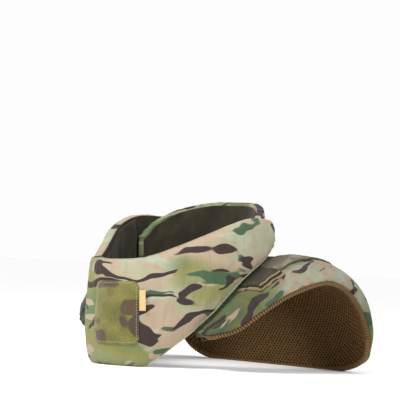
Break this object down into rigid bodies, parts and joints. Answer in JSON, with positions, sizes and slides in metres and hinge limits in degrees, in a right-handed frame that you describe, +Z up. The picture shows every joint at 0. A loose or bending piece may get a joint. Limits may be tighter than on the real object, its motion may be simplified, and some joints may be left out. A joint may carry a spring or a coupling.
{
  "type": "tactical neck protector",
  "caption": "Padded camouflage neck protector: a throat guard with a loop patch, a standing back collar and a horseshoe shoulder yoke lined with brown spacer mesh.",
  "frame": {"origin": "middle of the footprint, on the surface that the protector rests on", "axes": "+Z up, -Y the wearer's forward, +X the wearer's left"},
  "size_m": [0.3506, 0.3266, 0.2097],
  "materials": {
    "printed_fabric": "matt woven cloth printed in tan, sage, green and dark brown blots",
    "dark_lining": "matt dark olive cloth",
    "loop_pile": "fuzzy loop pile, olive with brown blots",
    "label_cloth": "smooth cream woven tape",
    "spacer_fabric": "open knitted spacer mesh, brown with dark holes",
    "ribbed_webbing": "ribbed woven webbing",
    "strap_fabric": "dark printed webbing with a box stitch"
  },
  "bodies": {
    "root": {"throat_guard": "printed_fabric", "guard_lining": "dark_lining", "loop_patch": "loop_pile", "side_label": "label_cloth", "back_collar": "printed_fabric", "collar_lining": "dark_lining", "shoulder_yoke": "printed_fabric", "spacer_mesh": "spacer_fabric", "shoulder_webbing_left": "ribbed_webbing", "strap_base_left": "printed_fabric", "cross_strap_left": "strap_fabric", "shoulder_webbing_right": "ribbed_webbing", "strap_base_right": "printed_fabric", "cross_strap_right": "strap_fabric"}
  },
  "joints": []
}
